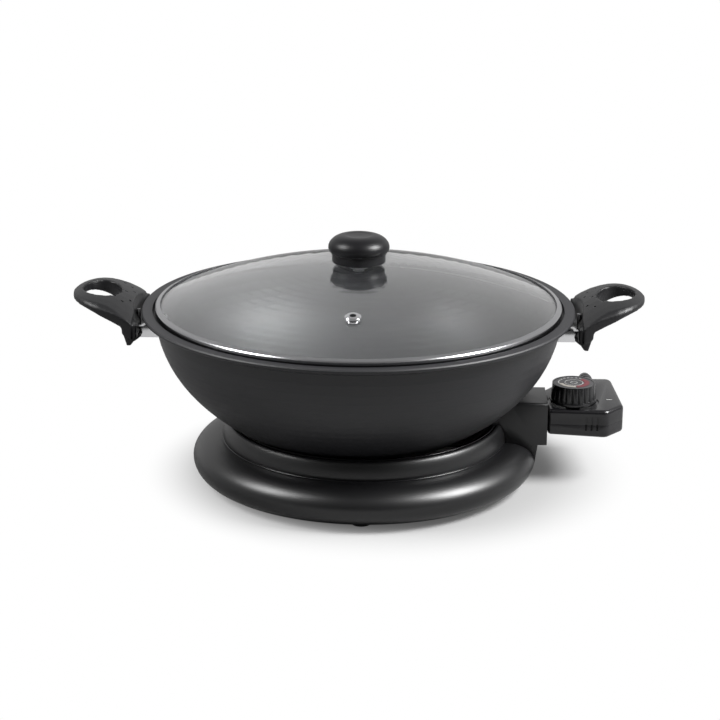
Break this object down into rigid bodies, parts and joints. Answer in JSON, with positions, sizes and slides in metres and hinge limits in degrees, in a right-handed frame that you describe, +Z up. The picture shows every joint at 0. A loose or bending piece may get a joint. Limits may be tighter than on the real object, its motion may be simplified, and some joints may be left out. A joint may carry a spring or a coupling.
{
  "type": "electric wok",
  "caption": "Deep round wok on a two-tier heated base with a lift-off glass lid, loop handles and a plug-in thermostat control.",
  "frame": {"origin": "on the table under the middle of the pan, at the bottom centre of the bounding box as near as the side control allows", "axes": "+Z up; +X from the pan towards the plug-in control; -Y towards the front"},
  "size_m": [0.448, 0.34, 0.1963],
  "materials": {
    "pan_coating": "satin anthracite non-stick coating on cast aluminium",
    "base_plastic": "satin black heat-resistant moulding",
    "handle_plastic": "satin dark grey phenolic moulding",
    "control_plastic": "satin black moulding",
    "dial_plastic": "semi-gloss black moulding",
    "scale_print": "dark grey disc with a plain printed scale",
    "polished_steel": "polished stainless sheet",
    "plain_steel": "plain steel",
    "element_steel": "dull steel sheath",
    "shield_aluminium": "plain rolled sheet",
    "clear_glass": "clear tempered glass",
    "knob_plastic": "semi-gloss black phenolic moulding",
    "silicone": "grey silicone",
    "foot_rubber": "matt black rubber",
    "contact_brass": "plated brass",
    "ceramic": "unglazed steatite ceramic",
    "phenolic": "dark brown phenolic moulding"
  },
  "bodies": {
    "cooker": {"pan": "pan_coating", "heating_element": "element_steel", "terminal_pins": "contact_brass", "pin_insulators": "ceramic", "terminal_plate": "plain_steel", "bracket_left": "polished_steel", "bracket_right": "polished_steel", "bracket_rivets_left": "plain_steel", "bracket_rivets_right": "plain_steel", "handle_left": "handle_plastic", "handle_right": "handle_plastic", "handle_screw_left": "plain_steel", "handle_screw_right": "plain_steel", "base_shell": "base_plastic", "bottom_cover": "base_plastic", "heat_shield": "shield_aluminium", "pan_screws": "plain_steel", "cover_screws": "plain_steel", "foot_front": "foot_rubber", "foot_back": "foot_rubber", "foot_left": "foot_rubber", "foot_right": "foot_rubber", "socket_block": "base_plastic", "socket_screws": "plain_steel"},
    "lid": {"lid_glass": "clear_glass", "lid_band": "polished_steel", "vent_eyelet": "polished_steel", "knob_cap": "knob_plastic", "knob_collar": "knob_plastic", "knob_gasket": "silicone", "knob_washer": "plain_steel", "knob_screw": "plain_steel"},
    "control": {"control_top": "control_plastic", "control_bottom": "control_plastic", "plug_nose": "phenolic", "contact_sleeves": "contact_brass", "temperature_probe": "polished_steel", "thermostat_switch": "phenolic", "control_screws": "plain_steel", "cord_guard": "control_plastic"},
    "dial": {"dial": "dial_plastic", "dial_face": "scale_print", "dial_shaft": "plain_steel"}
  },
  "joints": [
    {"name": "lid_lift", "type": "slide", "parent": "cooker", "child": "lid", "axis": [0, 0, 1], "range_m": [0, 0.15]},
    {"name": "control_pull", "type": "slide", "parent": "cooker", "child": "control", "axis": [1, 0, 0], "range_m": [0, 0.05]},
    {"name": "dial_turn", "type": "hinge", "parent": "control", "child": "dial", "pos_m": [0.1715, 0, 0.06], "axis": [0, 0, 1], "range_deg": [-270, 0]}
  ]
}
